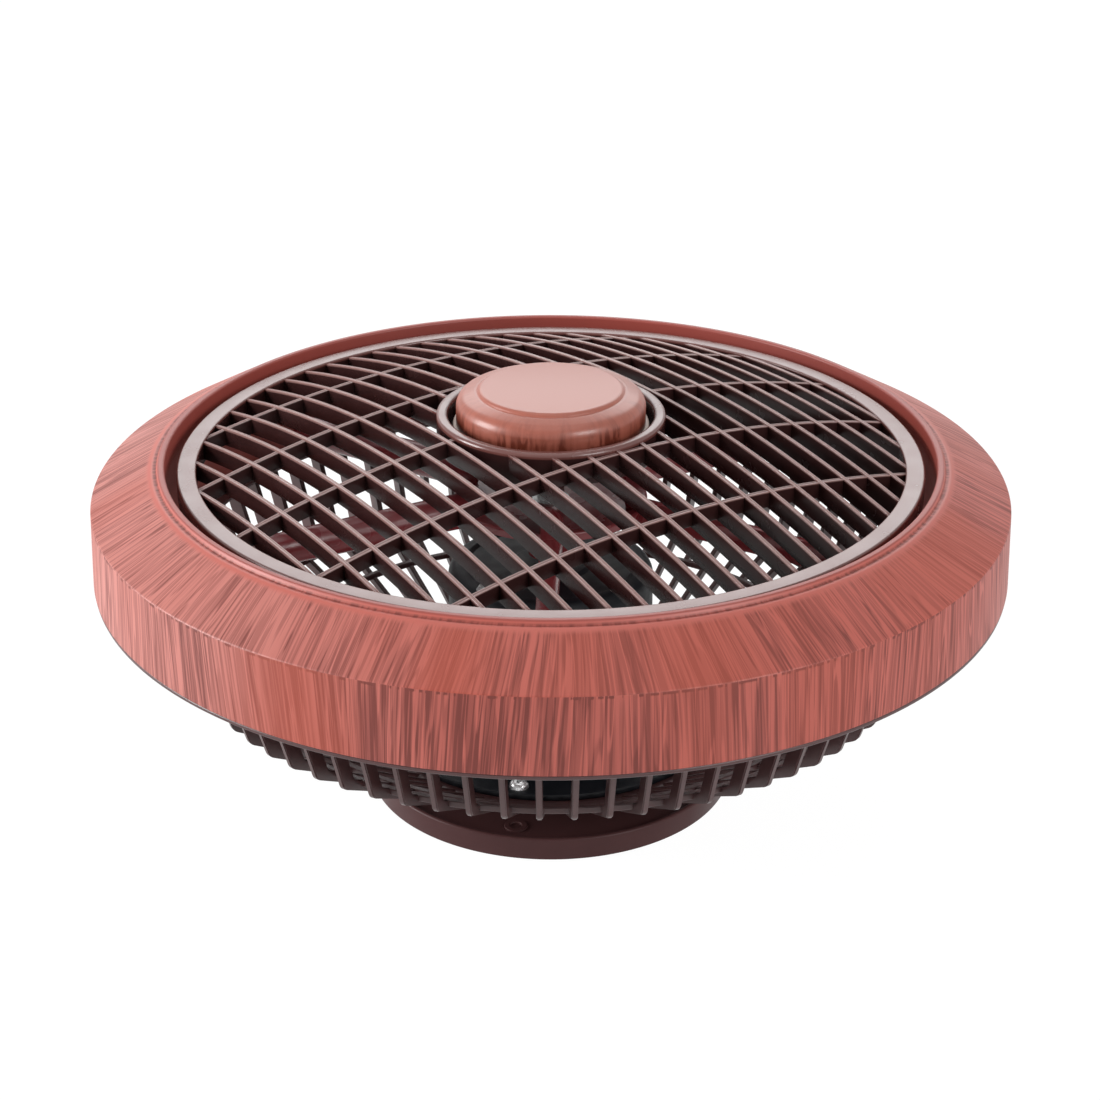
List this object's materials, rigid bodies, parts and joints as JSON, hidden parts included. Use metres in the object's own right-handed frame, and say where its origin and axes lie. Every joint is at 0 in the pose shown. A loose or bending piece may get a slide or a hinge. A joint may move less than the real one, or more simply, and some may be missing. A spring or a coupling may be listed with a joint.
{
  "type": "cabin fan",
  "caption": "Ceiling cabin fan with a barred rear cage, wood-look trim ring, revolving slatted grille, round centre cap, and a motor that drives a bladed impeller.",
  "frame": {"origin": "centre of the ceiling plate's rim face, on the fan's axis", "axes": "+Z along the fan's axis from the ceiling plate towards the grille; -Y towards the pictured front"},
  "size_m": [0.44, 0.44, 0.2048],
  "materials": {
    "trim_wood_look": "gloss, printed wood look",
    "cap_wood_look": "gloss, printed wood look",
    "grille_brown": "gloss",
    "cage_brown": "semi gloss",
    "base_brown": "semi gloss",
    "blade_maroon": "gloss",
    "motor_black": "semi gloss",
    "plate_black": "satin",
    "screw_chrome": "polished",
    "screw_zinc": "zinc plated",
    "shaft_steel": "ground",
    "clip_steel": "blued",
    "bearing_steel": "polished",
    "lamination": "stamped",
    "rotor_alloy": "cast",
    "winding_copper": "enamelled copper wire",
    "carrier_cream": "matte",
    "capacitor_case": "matte",
    "terminal_nylon": "matte",
    "grommet_rubber": "matte"
  },
  "bodies": {
    "housing": {"ceiling_plate": "base_brown", "rear_cage": "cage_brown", "motor_plate": "plate_black", "plate_screws": "screw_chrome", "mount_bolts": "screw_zinc", "motor_shell_rear": "motor_black", "motor_shell_front": "motor_black", "stator_core": "lamination", "stator_winding": "winding_copper", "motor_bolts": "screw_zinc", "front_bearing": "bearing_steel", "rear_bearing": "bearing_steel", "trim_ring": "trim_wood_look", "trim_screws": "screw_zinc", "capacitor": "capacitor_case", "terminal_block": "terminal_nylon", "cable_grommet": "grommet_rubber"},
    "fan_rotor": {"motor_shaft": "shaft_steel", "rotor_core": "rotor_alloy", "impeller": "blade_maroon", "impeller_pin": "shaft_steel", "impeller_washer": "screw_zinc", "impeller_nut": "screw_zinc", "spacer_sleeve": "shaft_steel", "shaft_clip": "clip_steel"},
    "grille": {"louvre_grille": "grille_brown", "grille_bearing": "bearing_steel", "cap_carrier": "carrier_cream", "carrier_screws": "screw_zinc", "centre_cap": "cap_wood_look"}
  },
  "joints": [
    {"name": "fan_spin", "type": "hinge", "parent": "housing", "child": "fan_rotor", "pos_m": [0, 0, 0.1], "axis": [0, 0, 1], "continuous": true},
    {"name": "grille_spin", "type": "hinge", "parent": "fan_rotor", "child": "grille", "pos_m": [0, 0, 0.1765], "axis": [0, 0, 1], "continuous": true}
  ]
}
